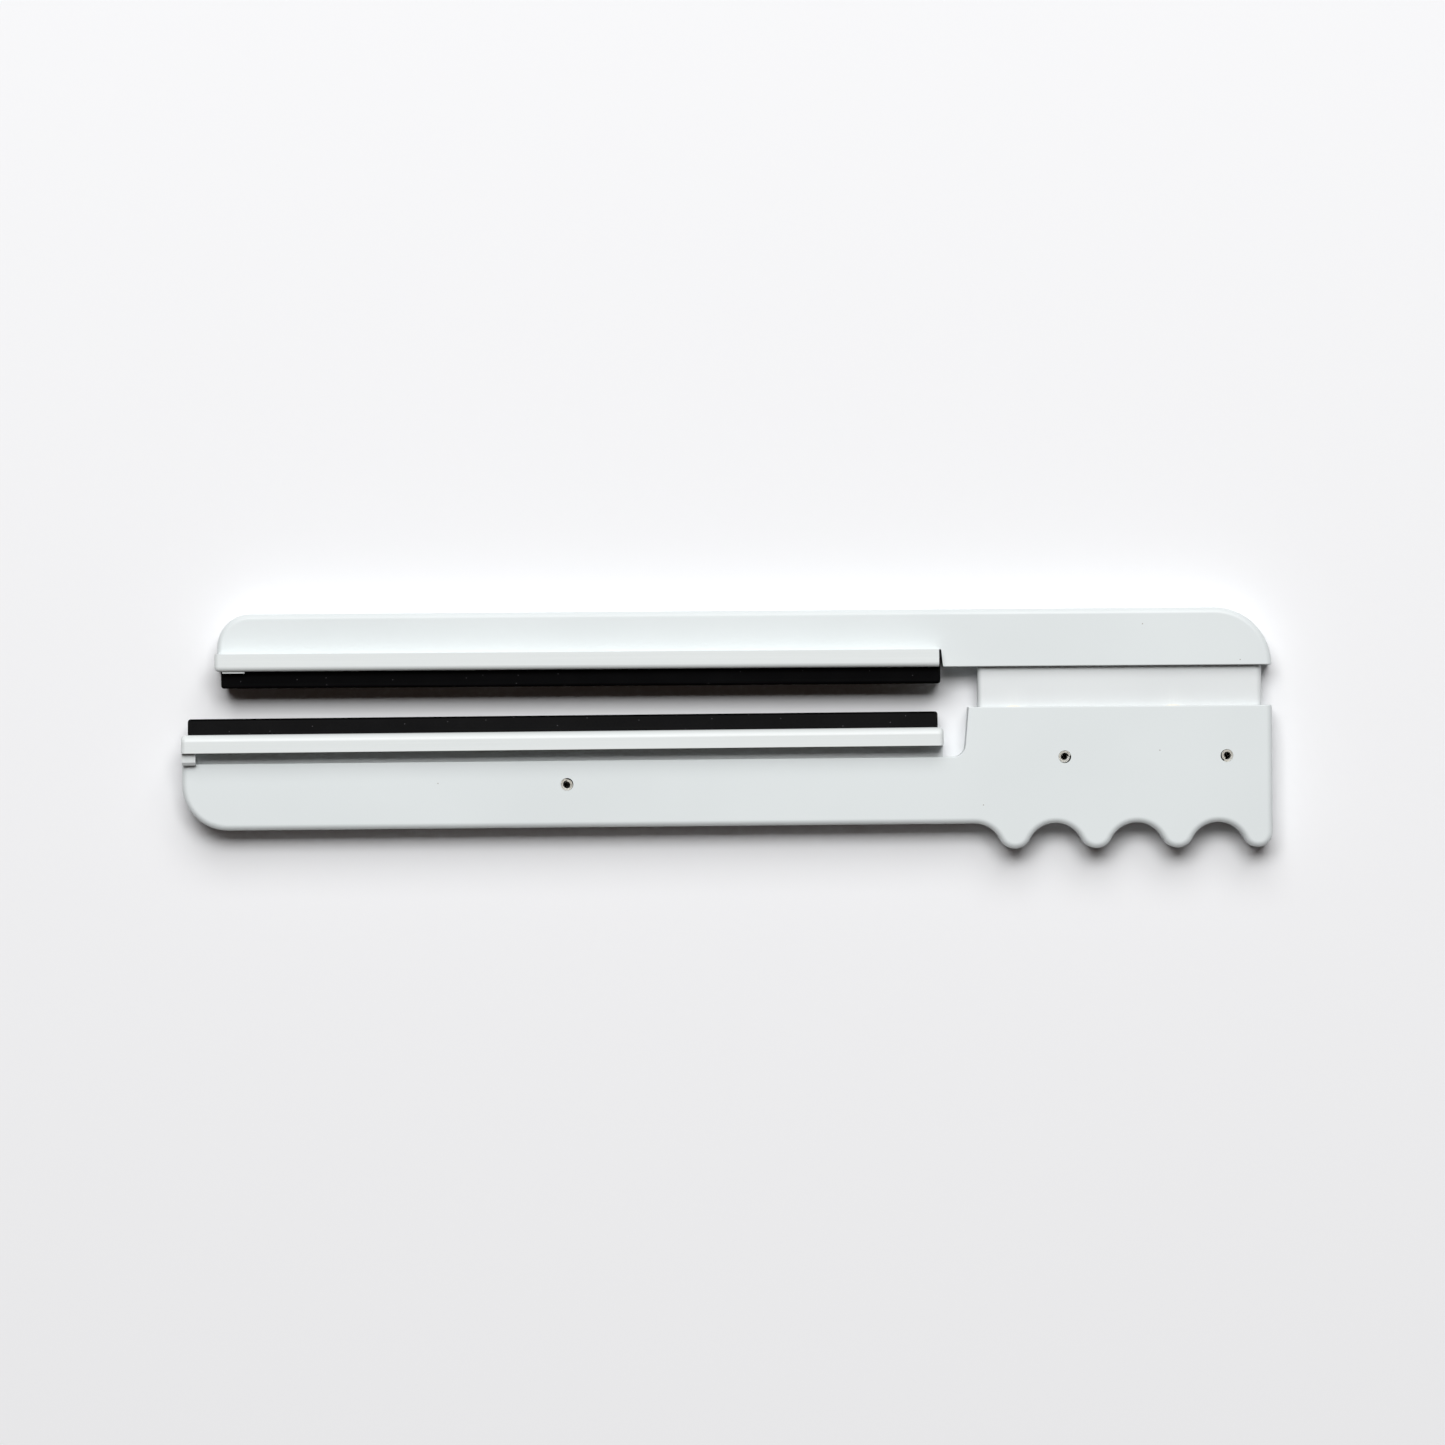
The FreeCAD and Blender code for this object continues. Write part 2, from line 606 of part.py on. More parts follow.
def all_parts():
    inner_spring, outer_spring = spring_places()
    lower_bar = jaw_channel(LOWER_JAW).fuse(end_lug(LOWER_JAW)).removeSplitter()
    return {
        "handle_front_shell": handle_half(front=True),
        "handle_rear_shell": handle_half(front=False),
        "handle_screws": rear_screws(handle_screw_places()),
        "jaw_pivot_pin": coiled_pin(PIVOT, 95.0),
        "inner_guide_pin": coiled_pin(INNER_PIN, 265.0),
        "outer_guide_pin": coiled_pin(OUTER_PIN, 215.0),
        "inner_return_spring": return_spring(inner_spring),
        "outer_return_spring": return_spring(outer_spring),
        "inner_spring_rod": spring_rod(inner_spring),
        "outer_spring_rod": spring_rod(outer_spring),
        "rail_front_shell": rail_half(front=True),
        "rail_rear_shell": rail_half(front=False),
        "rail_screws": rear_screws(rail_screw_places()),
        "slide_tongue": slide_tongue(),
        "front_glides": glides(front=True),
        "rear_glides": glides(front=False),
        "upper_jaw_channel": jaw_channel(UPPER_JAW).fuse(end_tab(UPPER_JAW)).removeSplitter(),
        "upper_jaw_rubber": jaw_rubber(UPPER_JAW),
        "upper_jaw_screws": jaw_screws(UPPER_JAW),
        "lower_jaw_channel": leaned(lower_bar),
        "lower_jaw_rubber": leaned(jaw_rubber(LOWER_JAW)),
        "lower_jaw_screws": leaned(jaw_screws(LOWER_JAW)),
        "lower_jaw_web": leaned(lower_jaw_web()),
        "pivot_bush": leaned(pivot_bush()),
    }


os.makedirs("parts", exist_ok=True)
for name, shape in all_parts().items():
    shape.exportStep(f"parts/{name}.step")
    extent = shape.optimalBoundingBox(False, False)
    corners = (extent.XMin, extent.XMax, extent.YMin, extent.YMax, extent.ZMin, extent.ZMax)
    print(name, shape.isValid(), len(shape.Solids), round(shape.Volume, 1), [round(v, 2) for v in corners])
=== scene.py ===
import json
import math

import bmesh
import bpy
from mathutils import Matrix, Vector


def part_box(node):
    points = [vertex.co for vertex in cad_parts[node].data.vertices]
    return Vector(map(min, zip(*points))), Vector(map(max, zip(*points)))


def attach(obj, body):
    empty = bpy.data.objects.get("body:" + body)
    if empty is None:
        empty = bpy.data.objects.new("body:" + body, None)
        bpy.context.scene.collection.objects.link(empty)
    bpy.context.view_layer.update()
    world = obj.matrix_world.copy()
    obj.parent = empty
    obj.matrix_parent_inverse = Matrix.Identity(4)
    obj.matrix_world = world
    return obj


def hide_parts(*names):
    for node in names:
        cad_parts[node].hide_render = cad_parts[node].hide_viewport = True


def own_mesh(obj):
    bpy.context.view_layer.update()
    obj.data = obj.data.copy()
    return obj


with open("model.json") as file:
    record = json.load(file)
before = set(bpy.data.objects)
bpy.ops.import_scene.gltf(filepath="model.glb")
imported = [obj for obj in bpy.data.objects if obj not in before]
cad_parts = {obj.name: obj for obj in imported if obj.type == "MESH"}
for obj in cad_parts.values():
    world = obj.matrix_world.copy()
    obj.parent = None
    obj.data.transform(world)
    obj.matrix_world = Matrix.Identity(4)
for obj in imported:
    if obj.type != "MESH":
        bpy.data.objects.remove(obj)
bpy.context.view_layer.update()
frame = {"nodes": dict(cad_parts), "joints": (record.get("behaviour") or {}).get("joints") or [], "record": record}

MM = 0.001
scene = bpy.context.scene


# The table and the light. The gripper lies on a sheet of matt white card. A high softbox stands a
# little behind the palm rail, a dimmer one further back and lower, and the dim room glows warm.

def linear(hex_colour):
    """An sRGB hex colour as the linear RGBA that a shader socket takes."""
    channels = [int(hex_colour[i:i + 2], 16) / 255 for i in (1, 3, 5)]
    return [c / 12.92 if c <= 0.04045 else ((c + 0.055) / 1.055) ** 2.4 for c in channels] + [1.0]


def new_material(name):
    """A material with only its Principled shader and output, and its Object coordinates."""
    material = bpy.data.materials.new(name)
    material.use_nodes = True
    tree = material.node_tree
    tree.nodes.clear()
    output = tree.nodes.new("ShaderNodeOutputMaterial")
    shader = tree.nodes.new("ShaderNodeBsdfPrincipled")
    tree.links.new(shader.outputs["BSDF"], output.inputs["Surface"])
    place = tree.nodes.new("ShaderNodeTexCoord").outputs["Object"]
    return material, tree, shader, place


def add(tree, kind, sockets=None, links=None, **settings):
    """One node: its settings, the values of its sockets, and the sockets that feed it."""
    made = tree.nodes.new("ShaderNode" + kind)
    for setting, value in settings.items():
        setattr(made, setting, value)
    for socket, value in (sockets or {}).items():
        made.inputs[socket].default_value = value
    for socket, source in (links or {}).items():
        tree.links.new(source, made.inputs[socket])
    return made


def finish(shader, colour=None, roughness=None, height=None, depth_mm=0.0, **fixed):
    """Feeds the shader its colour, its roughness and a relief of that depth; sets fixed values."""
    tree = shader.id_data
    for socket, source in (("Base Color", colour), ("Roughness", roughness)):
        if source:
            tree.links.new(source, shader.inputs[socket])
    if height:
        relief = add(tree, "Bump", {"Distance": depth_mm * MM}, {"Height": height})
        tree.links.new(relief.outputs["Normal"], shader.inputs["Normal"])
    for socket, value in fixed.items():
        shader.inputs[socket.replace("_", " ")].default_value = value


CARD_SIZE = 30.0
FIBRE_MM = 1.6

bm = bmesh.new()
bmesh.ops.create_grid(bm, x_segments=1, y_segments=1, size=CARD_SIZE / 2)
card_mesh = bpy.data.meshes.new("white_card")
bm.to_mesh(card_mesh)
bm.free()
card = bpy.data.objects.new("white_card", card_mesh)
scene.collection.objects.link(card)

white_card, tree, shader, place = new_material("matt_white_card")
fibres = add(tree, "TexNoise", {"Scale": 1 / (FIBRE_MM * MM), "Detail": 4.0}, {"Vector": place})
finish(shader, height=fibres.outputs["Fac"], depth_mm=0.003, Roughness=0.9, Specular_IOR_Level=0.1)
shader.inputs["Base Color"].default_value = linear("#EEEFF1")
card_mesh.materials.append(white_card)

SOFTBOXES = (
    ("high_softbox", (-0.1, 1.20, 3.0), (2.2, 1.16), 89.0, 0.0),
    ("low_softbox", (0.4, 2.85, 2.85), (3.6, 2.0), 80.0, math.radians(45)),
)
for name, spot, size, watts, tilt in SOFTBOXES:
    lamp = bpy.data.lights.new(name, "AREA")
    lamp.shape = "RECTANGLE"
    lamp.size, lamp.size_y = size
    lamp.energy = watts
    softbox = bpy.data.objects.new(name, lamp)
    softbox.location = spot
    softbox.rotation_euler = (-tilt, 0.0, 0.0)
    scene.collection.objects.link(softbox)

# The room: its dim warm glow lights the shadows, and seen directly it is a pale wall.
room = bpy.data.worlds.new("studio_room")
room.use_nodes = True
room.node_tree.nodes.clear()
glow = add(room.node_tree, "Background", {"Color": linear("#FFDAC6"), "Strength": 0.036})
wall = add(room.node_tree, "Background", {"Color": linear("#E6E7EA"), "Strength": 1.0})
seen = add(room.node_tree, "LightPath")
either = add(room.node_tree, "MixShader", links={"Fac": seen.outputs["Is Camera Ray"]})
room.node_tree.links.new(glow.outputs["Background"], either.inputs[1])
room.node_tree.links.new(wall.outputs["Background"], either.inputs[2])
add(room.node_tree, "OutputWorld", links={"Surface": either.outputs["Shader"]})
scene.world = room
scene.view_settings.view_transform = "Standard"

# The camera looks straight down, with the gripper turned by under half a degree in its frame.
CAMERA_HEIGHT = 2.2
FRAME_WIDTH = 0.3975
camera_data = bpy.data.cameras.new("overhead_camera")
camera_data.sensor_width = 36.0
face_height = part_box("handle_front_shell")[1][2]
camera_data.lens = camera_data.sensor_width * (CAMERA_HEIGHT - face_height) / FRAME_WIDTH
camera = bpy.data.objects.new("overhead_camera", camera_data)
camera.location = (-1.2 * MM, 2.3 * MM, CAMERA_HEIGHT)
camera.rotation_euler = (0.0, 0.0, math.radians(-0.42))
scene.collection.objects.link(camera)
scene.camera = camera


# The shells. Two pairs of injection-moulded ABS halves, the handle's and the palm rail's, screwed
# together on a seam half way up. Their mould was spark eroded, so they have a fine even satin
# grain, with a slow drift in tone, some specks of dirt, and a polish where fingers hold the grip.

SHELL_GRAIN_MM = 0.45
SPECK_SPACING_MM = 24
SPECK_RADIUS_MM = 0.17
SPECK_RARITY = 0.66
SHELL_DRIFT_MM = 38
HANDLED_START_MM = 52
HANDLED_FULL_MM = 78
HANDLED_POLISH = 0.07

satin_abs, tree, shader, place = new_material("spark_eroded_abs")
# Spark grain of 0.05 mm is too fine to show, so it is drawn nine times coarser.
grain = add(tree, "TexNoise", {"Scale": 1 / (SHELL_GRAIN_MM * MM), "Detail": 3.0, "Roughness": 0.6},
            {"Vector": place})
drift = add(tree, "TexNoise", {"Scale": 1 / (SHELL_DRIFT_MM * MM), "Detail": 2.0}, {"Vector": place})
tone = add(tree, "ValToRGB", links={"Fac": drift.outputs["Fac"]})
tone.color_ramp.elements[0].position = 0.35
tone.color_ramp.elements[0].color = linear("#D6DCDD")
tone.color_ramp.elements[1].position = 0.65
tone.color_ramp.elements[1].color = linear("#D9DFE0")

# Specks: one cell in three holds one, small enough to look like a grain of dirt.
cells = add(tree, "TexVoronoi", {"Scale": 1 / (SPECK_SPACING_MM * MM)}, {"Vector": place},
            voronoi_dimensions="2D")
near = add(tree, "Math", {1: SPECK_RADIUS_MM / SPECK_SPACING_MM}, {0: cells.outputs["Distance"]},
           operation="LESS_THAN")
parts = add(tree, "SeparateColor", links={"Color": cells.outputs["Color"]})
chosen = add(tree, "Math", {1: SPECK_RARITY}, {0: parts.outputs["Red"]}, operation="GREATER_THAN")
speck = add(tree, "Math", links={0: near.outputs["Value"], 1: chosen.outputs["Value"]},
            operation="MULTIPLY")
# A colour Mix node takes its two colours on sockets 6 and 7 and gives the result on 2.
dirty = add(tree, "Mix", {7: linear("#A5A39E")},
            {"Factor": speck.outputs["Value"], 6: tone.outputs["Color"]}, data_type="RGBA")

# The grip end, from the first scallop on, is handled smooth.
along = add(tree, "SeparateXYZ", links={"Vector": place})
handled = add(tree, "MapRange", {"From Min": HANDLED_START_MM * MM, "From Max": HANDLED_FULL_MM * MM,
                                 "To Min": 0.0, "To Max": HANDLED_POLISH}, {"Value": along.outputs["X"]})
mottle = add(tree, "MapRange", {"To Min": 0.46, "To Max": 0.56}, {"Value": grain.outputs["Fac"]})
gloss = add(tree, "Math", links={0: mottle.outputs["Result"], 1: handled.outputs["Result"]},
            operation="SUBTRACT")
finish(shader, dirty.outputs[2], gloss.outputs["Value"], grain.outputs["Fac"], 0.007, IOR=1.53)


def paint_node(name, material):
    """A CAD node keeps its shape and takes a material."""
    mesh = frame["nodes"][name].data
    mesh.materials.clear()
    mesh.materials.append(material)


for name in ("handle_front_shell", "handle_rear_shell", "rail_front_shell", "rail_rear_shell"):
    paint_node(name, satin_abs)


# The slide tongue, with the spine that fills the palm rail, and the web of the rocking jaw. Both
# are glass-filled ABS plates with a smoother face than the shells. The tongue runs in and out
# under the handle's edge, which leaves faint rub lines along its travel near the two glides.

RUB_LINE_MM = 0.35
SLIDE_GRAIN_MM = 0.7
SLIDE_DRIFT_MM = 30
glides_low, glides_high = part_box("front_glides")
glide_radius = (glides_high[1] - glides_low[1]) / 2
rub_centres = (glides_low[0] + glide_radius, glides_high[0] - glide_radius)
motions = {joint["name"]: joint for joint in frame["record"]["behaviour"]["joints"]}
travel = motions["rail_squeeze"]["range_m"][1]
handle_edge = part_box("handle_front_shell")[1][1]

slide_abs, tree, shader, place = new_material("smooth_glass_filled_abs")
flow = add(tree, "TexNoise", {"Scale": 1 / (SLIDE_GRAIN_MM * MM), "Detail": 3.0}, {"Vector": place})
drift = add(tree, "TexNoise", {"Scale": 1 / (SLIDE_DRIFT_MM * MM), "Detail": 1.0}, {"Vector": place})
tone = add(tree, "ValToRGB", links={"Fac": drift.outputs["Fac"]})
tone.color_ramp.elements[0].position = 0.35
tone.color_ramp.elements[0].color = linear("#D5D9DA")
tone.color_ramp.elements[1].position = 0.65
tone.color_ramp.elements[1].color = linear("#D8DCDD")
# Rub lines run along Y, so the noise is drawn out that way.
stretched = add(tree, "Mapping", {"Scale": (1.0, 0.03, 1.0)}, {"Vector": place})
scratches = add(tree, "TexNoise", {"Scale": 1 / (RUB_LINE_MM * MM), "Detail": 2.0},
                {"Vector": stretched.outputs["Vector"]})
axes = add(tree, "SeparateXYZ", links={"Vector": place})
rubbed = None
for centre in rub_centres:
    offset = add(tree, "Math", {1: centre}, {0: axes.outputs["X"]}, operation="SUBTRACT")
    distance = add(tree, "Math", links={0: offset.outputs["Value"]}, operation="ABSOLUTE")
    band = add(tree, "MapRange", {"From Min": 0.0, "From Max": glide_radius, "To Min": 1.0,
                                  "To Max": 0.0}, {"Value": distance.outputs["Value"]})
    if rubbed is None:
        rubbed = band.outputs["Result"]
    else:
        both = add(tree, "Math", links={0: rubbed, 1: band.outputs["Result"]}, operation="MAXIMUM")
        rubbed = both.outputs["Value"]
reach = add(tree, "MapRange", {"From Min": handle_edge, "From Max": handle_edge + travel,
                               "To Min": 1.0, "To Max": 0.0}, {"Value": axes.outputs["Y"]})
for factor in (reach.outputs["Result"], scratches.outputs["Fac"]):
    product = add(tree, "Math", links={0: rubbed, 1: factor}, operation="MULTIPLY")
    rubbed = product.outputs["Value"]
worn = add(tree, "Mix", {7: linear("#DFE3E3")}, {"Factor": rubbed, 6: tone.outputs["Color"]},
           data_type="RGBA")
gloss = add(tree, "MapRange", {"To Min": 0.38, "To Max": 0.5}, {"Value": flow.outputs["Fac"]})
finish(shader, worn.outputs[2], gloss.outputs["Result"], flow.outputs["Fac"], 0.004, IOR=1.54)

for name in ("slide_tongue", "lower_jaw_web"):
    paint_node(name, slide_abs)


# The jaw bars. Two aluminium extrusions, grooved along their fronts, cut to length and sprayed
# with a satin white enamel, which has a little orange peel over faint lines from the die.

ORANGE_PEEL_MM = 1.1
DIE_LINE_MM = 0.4

enamel, tree, shader, place = new_material("satin_enamel_on_aluminium")
peel = add(tree, "TexNoise", {"Scale": 1 / (ORANGE_PEEL_MM * MM), "Detail": 1.0}, {"Vector": place})
drawn = add(tree, "Mapping", {"Scale": (0.01, 1.0, 1.0)}, {"Vector": place})
die_lines = add(tree, "TexNoise", {"Scale": 1 / (DIE_LINE_MM * MM), "Detail": 2.0},
                {"Vector": drawn.outputs["Vector"]})
tone = add(tree, "ValToRGB", links={"Fac": die_lines.outputs["Fac"]})
tone.color_ramp.elements[0].position = 0.3
tone.color_ramp.elements[0].color = linear("#D9DEDE")
tone.color_ramp.elements[1].position = 0.7
tone.color_ramp.elements[1].color = linear("#DCE1E1")
relief = add(tree, "Math", {1: 0.5}, {0: die_lines.outputs["Fac"], 2: peel.outputs["Fac"]},
             operation="MULTIPLY_ADD")
gloss = add(tree, "MapRange", {"To Min": 0.34, "To Max": 0.44}, {"Value": peel.outputs["Fac"]})
finish(shader, tone.outputs["Color"], gloss.outputs["Result"], relief.outputs["Value"], 0.006, IOR=1.5)

for name in ("upper_jaw_channel", "lower_jaw_channel"):
    paint_node(name, enamel)


# The gripping strips. Extruded black nitrile rubber, pressed into the jaws' grooves: each tapers
# towards its tip, and its gripping face has fine ribs along its length. Dust clings to it.

RIB_COUNT = 7
RIB_DEPTH = 0.25 * MM
RIB_GAP = 0.22 * MM
TIP_DROP = 1.1 * MM
CORNER_ROUND = 0.85 * MM
RIM_ROUND = 0.25 * MM
STRIP_DEPTH = 7.0 * MM
EXTRUSION_LINE_MM = 0.5
RUBBER_GRAIN_MM = 0.4
BLOOM_MM = 9
DUST_SPACING_MM = 7
DUST_RADIUS_MM = 0.126
mounts = {mount["name"]: mount for mount in frame["record"]["mounts"]}


def place_piece(bm, name, body, nodes, material, smooth=False):
    """Turns a finished bmesh into a piece that rides on a body and stands for CAD nodes."""
    bmesh.ops.remove_doubles(bm, verts=bm.verts, dist=1e-6)
    bmesh.ops.recalc_face_normals(bm, faces=bm.faces)
    mesh = bpy.data.meshes.new(name)
    bm.to_mesh(mesh)
    bm.free()
    if smooth:
        mesh.shade_smooth()
    mesh.materials.append(material)
    piece = bpy.data.objects.new(name, mesh)
    scene.collection.objects.link(piece)
    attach(piece, body)
    if nodes:
        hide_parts(*nodes)
    return piece


rubber, tree, shader, place = new_material("extruded_nitrile_rubber")
# Extrusion lines run along X; rubber's own grain of 0.1 mm is drawn four times coarser.
drawn = add(tree, "Mapping", {"Scale": (0.02, 1.0, 1.0)}, {"Vector": place})
lines = add(tree, "TexNoise", {"Scale": 1 / (EXTRUSION_LINE_MM * MM), "Detail": 2.0},
            {"Vector": drawn.outputs["Vector"]})
grain = add(tree, "TexNoise", {"Scale": 1 / (RUBBER_GRAIN_MM * MM), "Detail": 3.0}, {"Vector": place})
bloom = add(tree, "TexNoise", {"Scale": 1 / (BLOOM_MM * MM), "Detail": 3.0}, {"Vector": place})
tone = add(tree, "ValToRGB", links={"Fac": bloom.outputs["Fac"]})
tone.color_ramp.elements[0].position = 0.35
tone.color_ramp.elements[0].color = linear("#060607")
tone.color_ramp.elements[1].position = 0.75
tone.color_ramp.elements[1].color = linear("#0A0A0B")
cells = add(tree, "TexVoronoi", {"Scale": 1 / (DUST_SPACING_MM * MM)}, {"Vector": place},
            voronoi_dimensions="2D")
near = add(tree, "Math", {1: DUST_RADIUS_MM / DUST_SPACING_MM}, {0: cells.outputs["Distance"]},
           operation="LESS_THAN")
dusty = add(tree, "Mix", {7: linear("#4C4B4E")},
            {"Factor": near.outputs["Value"], 6: tone.outputs["Color"]}, data_type="RGBA")
relief = add(tree, "Math", {1: 0.6}, {0: lines.outputs["Fac"], 2: grain.outputs["Fac"]},
             operation="MULTIPLY_ADD")
gloss = add(tree, "MapRange", {"To Min": 0.5, "To Max": 0.7}, {"Value": grain.outputs["Fac"]})
finish(shader, dusty.outputs[2], gloss.outputs["Result"], relief.outputs["Value"], 0.02,
       Specular_IOR_Level=0.05)


def gripping_strip(node, body, pad):
    """One strip, built with its gripping face on +Y at the origin, then turned into its jaw."""
    low, high = (Vector(corner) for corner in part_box(node))
    outward = Vector(mounts[pad]["axis"])
    run = Vector((outward.y, -outward.x, 0.0))
    height = high.z - low.z
    depth = STRIP_DEPTH
    shift = ((low.x + high.x) / 2 - mounts[pad]["pos_m"][0]) / run.x
    centre = Vector(mounts[pad]["pos_m"]) + run * shift
    length = (high.x - low.x) - abs(outward.x) * depth
    bm = bmesh.new()
    bmesh.ops.create_cube(bm, size=1.0)
    bmesh.ops.scale(bm, vec=(length, depth, height), verts=bm.verts)
    bmesh.ops.translate(bm, vec=(0.0, -depth / 2, 0.0), verts=bm.verts)
    # The ribs: the face is divided into bands, and each band is let in behind a narrow rim.
    pitch = height / (RIB_COUNT + 1)
    for i in range(RIB_COUNT):
        bmesh.ops.bisect_plane(bm, geom=bm.verts[:] + bm.edges[:] + bm.faces[:], dist=1e-7,
                               plane_co=(0.0, 0.0, (i + 1) * pitch - height / 2), plane_no=(0.0, 0.0, 1.0))
    bands = [face for face in bm.faces if face.normal.y > 0.9]
    bmesh.ops.inset_individual(bm, faces=bands[1:-1], thickness=RIB_GAP, depth=0.0)
    bmesh.ops.translate(bm, vec=(0.0, -RIB_DEPTH, 0.0),
                        verts=list({vert for face in bands[1:-1] for vert in face.verts}))
    # The taper, and the rounded corners at the two ends of the tip.
    for vert in bm.verts:
        towards_tip = 1.0 + vert.co.y / depth
        if abs(vert.co.z) > height / 2 - 1e-6:
            vert.co.z -= math.copysign(TIP_DROP * towards_tip, vert.co.z)
    corners = [edge for edge in bm.edges
               if all(abs(v.co.y) < 1e-6 and abs(abs(v.co.x) - length / 2) < 1e-6 for v in edge.verts)]
    bmesh.ops.bevel(bm, geom=corners, offset=CORNER_ROUND, segments=5, profile=0.5, affect="EDGES",
                    material=-1)
    rims = [edge for edge in bm.edges if edge.is_manifold and edge.calc_face_angle() > math.radians(60)
            and all(abs(v.co.z) > height / 2 - TIP_DROP - 1e-5 for v in edge.verts)]
    bmesh.ops.bevel(bm, geom=rims, offset=RIM_ROUND, segments=2, profile=0.5, affect="EDGES", material=-1)
    turn = Matrix((run, outward, Vector((0.0, 0.0, 1.0)))).transposed().to_4x4()
    bmesh.ops.transform(bm, matrix=Matrix.Translation(centre) @ turn, verts=bm.verts)
    return place_piece(bm, node.replace("rubber", "gripping_strip"), body, [node], rubber)


gripping_strip("upper_jaw_rubber", "palm_rail", "upper_jaw_pad")
gripping_strip("lower_jaw_rubber", "rocking_jaw", "lower_jaw_pad")


# The coiled pins. Spring steel sheet rolled up two turns and chamfered at the ends, driven through
# both shells: one is the jaw's pivot, and two guide the tongue and stop it.

SHEET = 0.33 * MM
SHEET_STEP = 0.36 * MM
PIN_RADIUS = 1.75 * MM
PIN_HALF_TURNS = 4
PIN_ARC_STEPS = 14
PIN_CHAMFER = 0.13 * MM

spring_steel, tree, shader, place = new_material("rolled_spring_steel")
# Rolling marks run along the wire or the pin; hardening leaves a faint straw tint in patches.
marks = add(tree, "TexNoise", {"Scale": 1 / (0.25 * MM), "Detail": 2.0}, {"Vector": place})
temper = add(tree, "TexNoise", {"Scale": 1 / (2.5 * MM), "Detail": 2.0}, {"Vector": place})
tone = add(tree, "ValToRGB", links={"Fac": temper.outputs["Fac"]})
tone.color_ramp.elements[0].position = 0.3
tone.color_ramp.elements[0].color = linear("#DDDDDA")
tone.color_ramp.elements[1].position = 0.75
tone.color_ramp.elements[1].color = linear("#D5D2C9")
gloss = add(tree, "MapRange", {"To Min": 0.5, "To Max": 0.66}, {"Value": marks.outputs["Fac"]})
finish(shader, tone.outputs["Color"], gloss.outputs["Result"], marks.outputs["Fac"], 0.004, Metallic=1.0)


def coiled_pin(node, axis_x, axis_y, seam_degrees):
    low, high = (Vector(corner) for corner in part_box(node))
    bm = bmesh.new()
    start = [bm.verts.new((PIN_RADIUS - inset, 0.0, low.z)) for inset in (0.0, SHEET)]
    last = [bm.edges.new(start)] + start
    centre = 0.0
    for i in range(PIN_HALF_TURNS):
        spun = bmesh.ops.spin(bm, geom=last, cent=(centre, 0.0, low.z), axis=(0.0, 0.0, 1.0), angle=math.pi,
                              steps=PIN_ARC_STEPS, dvec=(0.0, 0.0, 0.0), use_merge=False)
        last = spun["geom_last"]
        # Each half turn has a smaller radius, about a centre that swaps sides.
        centre += (SHEET_STEP if i % 2 else -SHEET_STEP) / 2
    up = bmesh.ops.extrude_face_region(bm, geom=bm.faces[:])["geom"]
    raised = [part for part in up if isinstance(part, bmesh.types.BMVert)]
    bmesh.ops.translate(bm, vec=(0.0, 0.0, high.z - low.z), verts=raised)
    bmesh.ops.recalc_face_normals(bm, faces=bm.faces)
    rims = [edge for edge in bm.edges if edge.is_manifold and edge.calc_face_angle() > math.radians(80)
            and abs(edge.verts[0].co.z - edge.verts[1].co.z) < 1e-7]
    bmesh.ops.bevel(bm, geom=rims, offset=PIN_CHAMFER, segments=1, profile=0.5, affect="EDGES", material=-1)
    turn = Matrix.Rotation(math.radians(seam_degrees), 3, "Z")
    bmesh.ops.rotate(bm, cent=(0.0, 0.0, 0.0), matrix=turn, verts=bm.verts)
    bmesh.ops.translate(bm, vec=(axis_x, axis_y, 0.0), verts=bm.verts)
    return place_piece(bm, "coiled_" + node, "handle", [node], spring_steel)


joints = {joint["name"]: joint for joint in frame["joints"]}
pivot = joints["jaw_rock"]["pos_m"]
coiled_pin("jaw_pivot_pin", pivot[0], pivot[1], 95.0)
GUIDE_PIN_OUTBOARD = 7.0 * MM
for side, seam in (("inner", 10.0), ("outer", 240.0)):
    rod_low, rod_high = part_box(side + "_spring_rod")
    pin_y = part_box(side + "_guide_pin")[0][1] + PIN_RADIUS
    coiled_pin(side + "_guide_pin", (rod_low[0] + rod_high[0]) / 2 + GUIDE_PIN_OUTBOARD, pin_y, seam)


# The return springs. Music wire wound on a mandrel, with the end turns closed and ground flat; they
# push the tongue back out of the handle, each over a short steel rod pressed into the handle.

WIRE_RADIUS = 0.32 * MM
COIL_RADIUS = 2.1 * MM
OPEN_TURNS = 11
TURN_STEPS = 28
CLOSED_PITCH = 2 * WIRE_RADIUS


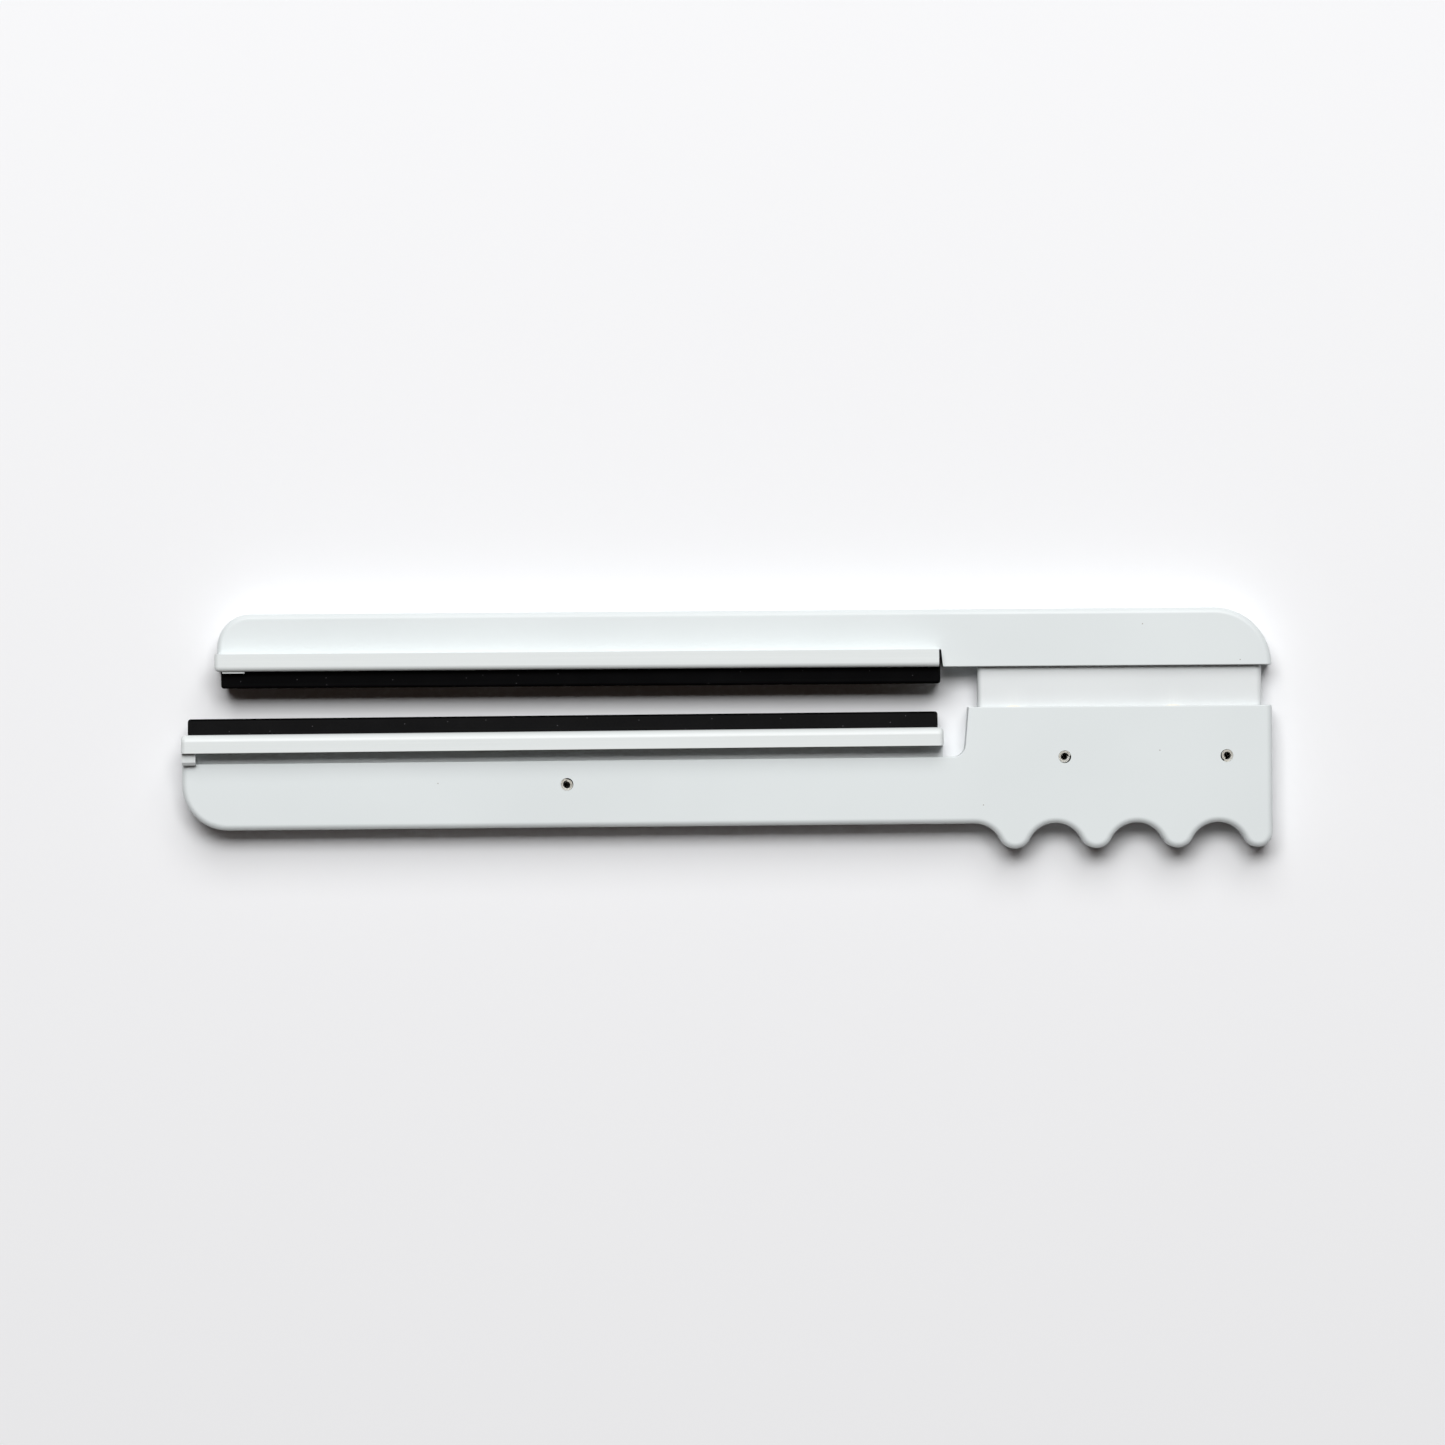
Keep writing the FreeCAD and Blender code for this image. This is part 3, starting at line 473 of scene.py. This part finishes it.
def return_spring(node):
    low, high = (Vector(corner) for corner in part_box(node))
    axis = Vector(((low.x + high.x) / 2, low.y, (low.z + high.z) / 2))
    open_pitch = (high.y - low.y - 2 * CLOSED_PITCH) / OPEN_TURNS
    bm = bmesh.new()
    last = bmesh.ops.create_circle(bm, segments=10, radius=WIRE_RADIUS, cap_ends=False)["verts"]
    bmesh.ops.translate(bm, vec=axis + Vector((COIL_RADIUS, 0.0, 0.0)), verts=last)
    last = last + bm.edges[:]
    for turns, pitch in ((1, CLOSED_PITCH), (OPEN_TURNS, open_pitch), (1, CLOSED_PITCH)):
        steps = turns * TURN_STEPS
        spun = bmesh.ops.spin(bm, geom=last, cent=axis, axis=(0.0, 1.0, 0.0), angle=turns * math.tau,
                              steps=steps, dvec=(0.0, pitch / TURN_STEPS, 0.0), use_merge=False)
        last = spun["geom_last"]
    for plane_y, outward in ((low.y, -1.0), (high.y, 1.0)):
        bmesh.ops.bisect_plane(bm, geom=bm.verts[:] + bm.edges[:] + bm.faces[:], dist=1e-7,
                               plane_co=(0.0, plane_y, 0.0), plane_no=(0.0, outward, 0.0), clear_outer=True)
    bmesh.ops.holes_fill(bm, edges=[edge for edge in bm.edges if edge.is_boundary], sides=0)
    name = node.replace("return", "wound_return")
    piece = place_piece(bm, name, "handle", [node], spring_steel, smooth=True)
    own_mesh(piece)


for side in ("inner", "outer"):
    return_spring(side + "_return_spring")
    paint_node(side + "_spring_rod", spring_steel)


# The screws. Steel self-tapping screws with a cross recess, zinc plated: pan heads close the back
# of the shells, and countersunk ones hold the jaw bars from inside their grooves.

zinc, tree, shader, place = new_material("zinc_plated_steel")
spangle = add(tree, "TexVoronoi", {"Scale": 1 / (0.35 * MM)}, {"Vector": place})
tint = add(tree, "TexNoise", {"Scale": 1 / (1.8 * MM), "Detail": 2.0}, {"Vector": place})
tone = add(tree, "ValToRGB", links={"Fac": tint.outputs["Fac"]})
tone.color_ramp.elements[0].position = 0.35
tone.color_ramp.elements[0].color = linear("#C4C8CF")
tone.color_ramp.elements[1].position = 0.7
tone.color_ramp.elements[1].color = linear("#CFCBBC")
gloss = add(tree, "MapRange", {"To Min": 0.28, "To Max": 0.42}, {"Value": spangle.outputs["Distance"]})
finish(shader, tone.outputs["Color"], gloss.outputs["Result"], spangle.outputs["Distance"], 0.004,
       Metallic=1.0)

for name in ("handle_screws", "rail_screws", "upper_jaw_screws", "lower_jaw_screws"):
    paint_node(name, zinc)


# The glide buttons and the pivot bush. Turned from natural acetal rod, an off-white waxy plastic
# with concentric tool marks, and pressed into the tongue and the web.

TOOL_MARK_MM = 0.3

acetal, tree, shader, place = new_material("turned_natural_acetal")
wander = add(tree, "TexNoise", {"Scale": 1 / (4 * MM), "Detail": 1.0}, {"Vector": place})
marks = add(tree, "TexWave", {"Scale": 1 / (TOOL_MARK_MM * MM) / math.tau, "Distortion": 0.4},
            {"Vector": place}, wave_type="RINGS", rings_direction="Z")
tone = add(tree, "ValToRGB", links={"Fac": wander.outputs["Fac"]})
tone.color_ramp.elements[0].color = linear("#DEDBD1")
tone.color_ramp.elements[1].color = linear("#E6E3DA")
gloss = add(tree, "MapRange", {"To Min": 0.26, "To Max": 0.36}, {"Value": marks.outputs["Fac"]})
finish(shader, tone.outputs["Color"], gloss.outputs["Result"], marks.outputs["Fac"], 0.004, IOR=1.48)

for name in ("front_glides", "rear_glides", "pivot_bush"):
    paint_node(name, acetal)
